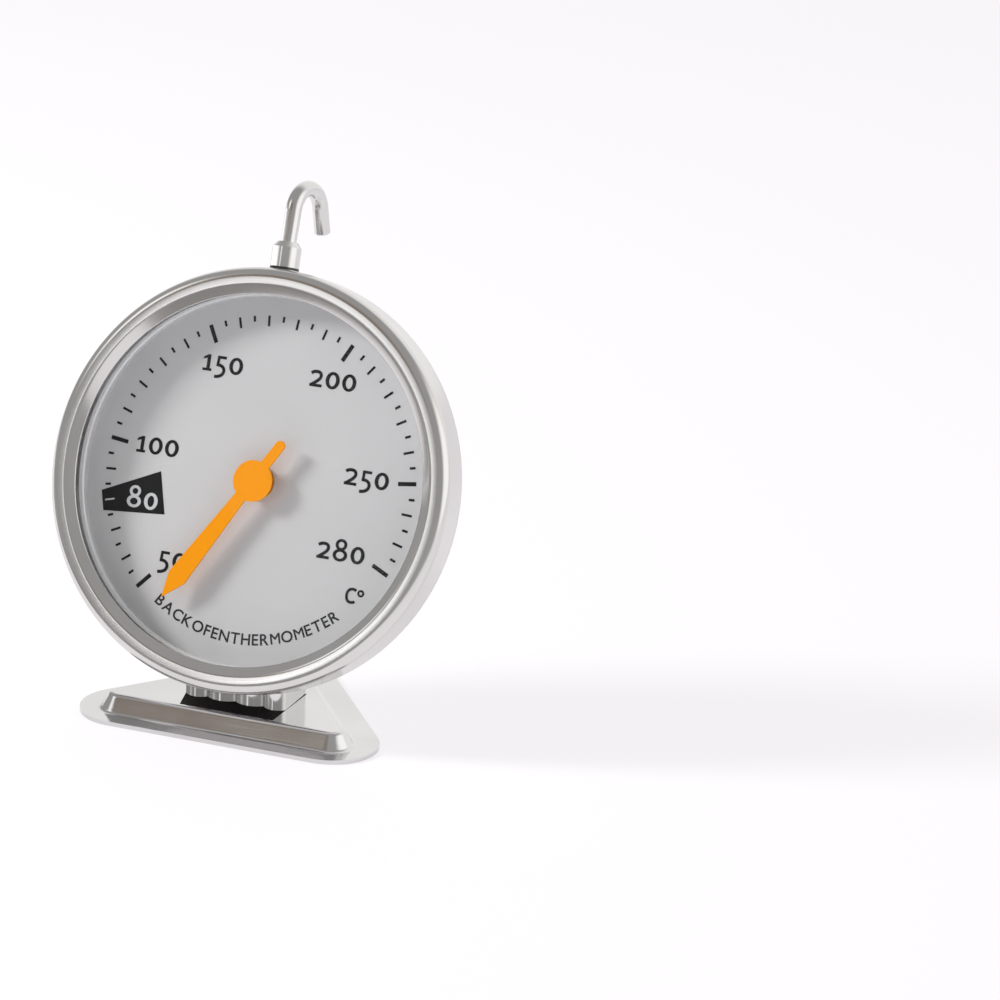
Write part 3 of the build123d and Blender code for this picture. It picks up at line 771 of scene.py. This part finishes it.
def glyph(digit):
    """The shapes of an old-style digit, each a list of outlines, the first one outside."""
    if digit == "0":
        return [[ellipse((1.35, 1.52), 1.37, 1.60), ellipse((1.35, 1.52), 0.66, 1.05)]]
    if digit == "1":
        edge = [(-0.03, 2.08), (0.1, 2.58), (0.95, 3.03), (1.47, 3.03), (1.47, 0.48), (1.86, 0.48)]
        edge += [(1.86, -0.02), (0.06, -0.02), (0.06, 0.48), (0.80, 0.48), (0.80, 2.36)]
        return [[edge]]
    if digit == "2":
        top = [(0.2, 2.38), (0.55, 2.72), (0.9, 2.78), (1.25, 2.78)]
        top += [(1.85, 2.78), (2.15, 2.5), (2.15, 2.08)]
        tail = [(2.15, 1.55), (1.75, 1.2), (0.35, 0.22)]
        return [[stroke(top + tail, PEN)], [bar(0.07, 2.52, -0.02, 0.52)]]
    if digit == "5":
        stem = [(0.58, 2.8), (0.56, 2.3), (0.54, 1.8), (0.5, 1.1)]
        bowl = [(0.3, 1.32), (1.3, 1.4), (1.87, 0.95), (1.87, 0.35)]
        bowl += [(1.87, -0.45), (1.1, -0.88), (0.1, -0.85)]
        return [[bar(0.30, 2.08, 2.50, 3.02)], [stroke(stem, THIN_PEN)], [stroke(bowl, PEN)]]
    top, low = (1.41, 2.98), (1.41, 1.08)
    return [
        [ellipse(top, 1.14, 1.08), ellipse(top, 0.56, 0.56)],
        [ellipse(low, 1.43, 1.16), ellipse(low, 0.77, 0.63)],
    ]


def shifted(outline, dx, dy):
    return [(x + dx, y + dy) for x, y in outline]


def turned_bar(inner, outer, half_inner, half_outer, angle):
    """A bar or wedge along the ray at a clockwise angle from the top."""
    ray = Vector((math.sin(angle), math.cos(angle)))
    side = Vector((ray.y, -ray.x))
    corners = (ray * inner - side * half_inner, ray * outer - side * half_outer)
    corners += (ray * outer + side * half_outer, ray * inner + side * half_inner)
    return [tuple(corner) for corner in corners]


def mark_angle(temperature):
    """The clockwise angle of a temperature from the top of the dial."""
    return math.radians((temperature - TOP_MARK) * DEGREES_PER_MARK)


def meshed(curve):
    """The mesh that a curve or a text makes; the curve is used up."""
    holder = bpy.data.objects.new(curve.name, curve)
    bpy.context.scene.collection.objects.link(holder)
    bpy.context.view_layer.update()
    depsgraph = bpy.context.evaluated_depsgraph_get()
    mesh = bpy.data.meshes.new_from_object(holder.evaluated_get(depsgraph))
    bpy.data.objects.remove(holder)
    bpy.data.curves.remove(curve)
    return mesh


def slab(shapes, height):
    """One closed mesh a shape, from outlines in millimetres, neighbours a hair above each other."""
    built = bmesh.new()
    for i, outlines in enumerate(shapes):
        curve = bpy.data.curves.new("outline", "CURVE")
        curve.dimensions = "2D"
        curve.fill_mode = "BOTH"
        curve.extrude = PRINT_T / 2
        for outline in outlines:
            spline = curve.splines.new("POLY")
            spline.points.add(len(outline) - 1)
            spline.use_cyclic_u = True
            for point, (x, y) in zip(spline.points, outline):
                point.co = (x * MM, y * MM, 0, 1)
        mesh = meshed(curve)
        mesh.transform(Matrix.Translation((0, 0, height + i % PRINT_LEVELS * PRINT_GAP)))
        built.from_mesh(mesh)
        bpy.data.meshes.remove(mesh)
    return built


def printed(name, built, material):
    """Put a flat print on the dial, as one piece that rides with the case."""
    bmesh.ops.remove_doubles(built, verts=built.verts, dist=MERGE_GAP)
    bmesh.ops.recalc_face_normals(built, faces=built.faces)
    mesh = bpy.data.meshes.new(name)
    built.to_mesh(mesh)
    built.free()
    middle = -DIAL_DEPTH + PRINT_GAP + PRINT_T / 2
    mesh.transform(CASE_MATRIX @ Matrix.Translation((0, 0, middle)))
    mesh.materials.append(material)
    piece = bpy.data.objects.new(name, mesh)
    bpy.context.scene.collection.objects.link(piece)
    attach(piece, "case")


def number_shapes(text):
    """The digits of a number, side by side from its place on the dial."""
    x, base = NUMBERS[text]
    shapes = []
    for digit in text:
        shapes += [[shifted(outline, x, base) for outline in outlines] for outlines in glyph(digit)]
        x += GLYPH_ADVANCE[digit]
    return shapes


def scale_shapes():
    """The long, middle and short marks of the scale; the flag has its own."""
    shapes = []
    for temperature in range(FIRST_MARK, LAST_MARK + 1, MARK_STEP):
        if temperature == FLAG_MARK:
            continue
        if temperature in MAJOR_MARKS:
            inner, outer, width = MAJOR_TICK
        elif temperature % (2 * MARK_STEP) == 0:
            inner, outer, width = MEDIUM_TICK
        else:
            inner, outer, width = SHORT_TICK
        shapes.append([turned_bar(inner, outer, width / 2, width / 2, mark_angle(temperature))])
    return shapes


def letter_mesh(letter):
    """One letter, centred and as thick as the ink."""
    curve = bpy.data.curves.new("letter", "FONT")
    curve.body = letter
    curve.size = LETTER_SIZE * MM
    curve.offset = 0 if letter in POINTED_LETTERS else LETTER_BOLD * MM
    curve.extrude = PRINT_T / 2
    curve.align_x = "CENTER"
    return meshed(curve)


def lettering():
    """The word along the foot of the dial, its letters spaced by their widths."""
    meshes = [letter_mesh(letter) for letter in LETTERING]
    spans = []
    for mesh in meshes:
        xs = [vertex.co.x for vertex in mesh.vertices]
        middle = (min(xs) + max(xs)) / 2
        mesh.transform(Matrix.Translation((-middle, 0, 0)))
        spans.append(max(xs) - min(xs))
    whole = (LETTER_LAST - LETTER_FIRST) * LETTER_BASE_R * MM
    gap = (whole - sum(spans) + (spans[0] + spans[-1]) / 2) / (len(spans) - 1)
    built = bmesh.new()
    along = -spans[0] / 2
    for letter, mesh, span in zip(LETTERING, meshes, spans):
        angle = LETTER_FIRST + (along + span / 2) / (LETTER_BASE_R * MM)
        mesh.transform(Matrix.Rotation(angle, 4, "Z") @ Matrix.Translation((0, -LETTER_BASE_R * MM, 0)))
        built.from_mesh(mesh)
        if letter in POINTED_LETTERS:
            right, up = POINTED_SHIFT
            mesh.transform(Matrix.Translation((right * MM, up * MM, PRINT_GAP)))
            built.from_mesh(mesh)
        bpy.data.meshes.remove(mesh)
        along += span + gap
    return built


def unit_shapes():
    """The C and the small ring of the unit."""
    letter_c = [(2.0, 2.4), (1.5, 2.85), (0.27, 2.75), (0.27, 1.42), (0.27, 0.05), (1.4, 0), (2.0, 0.42)]
    ring = (2.95, 2.05)
    shapes = [[stroke(letter_c, THIN_PEN)], [ellipse(ring, 0.68, 0.68), ellipse(ring, 0.28, 0.28)]]
    return [[shifted(outline, UNIT_LEFT, UNIT_BASE) for outline in outlines] for outlines in shapes]


def print_dial():
    """The scale, its numbers, the flag, the unit and the word, each in a layer of ink."""
    ink = enamel("dial_ink", (0.008, 0.008, 0.009), (0.014, 0.014, 0.015), 0.42, 0.55)
    soft_ink = enamel("letter_ink", (0.024, 0.024, 0.025), (0.036, 0.036, 0.037), 0.45, 0.58)
    light = enamel("light_print", (0.560, 0.570, 0.580), (0.640, 0.650, 0.660), 0.45, 0.60)
    printed("scale_marks", slab(scale_shapes(), 0), ink)
    for text in NUMBERS:
        if text == str(FLAG_MARK):
            continue
        printed("number_" + text, slab(number_shapes(text), 0), ink)
    angle = mark_angle(FLAG_MARK)
    wedge = turned_bar(FLAG_INNER_R, FLAG_OUTER_R, FLAG_INNER_HALF, FLAG_OUTER_HALF, angle)
    printed("flag_80", slab([[wedge]], 0), ink)
    over = PRINT_T + PRINT_GAP
    printed("flag_number_80", slab(number_shapes(str(FLAG_MARK)), over), light)
    inner, outer, width = FLAG_TICK
    tick = turned_bar(inner, outer, width / 2, width / 2, angle)
    printed("flag_tick_80", slab([[tick]], over), light)
    printed("unit_c", slab(unit_shapes(), 0), ink)
    printed("lettering", lettering(), soft_ink)


add_camera()
add_world()
add_key_light()
add_floor()
add_room()
add_shelf()
dress_nodes()
add_gasket()
print_dial()

bpy.context.scene.view_settings.view_transform = "Standard"
bpy.context.scene.view_settings.look = "None"
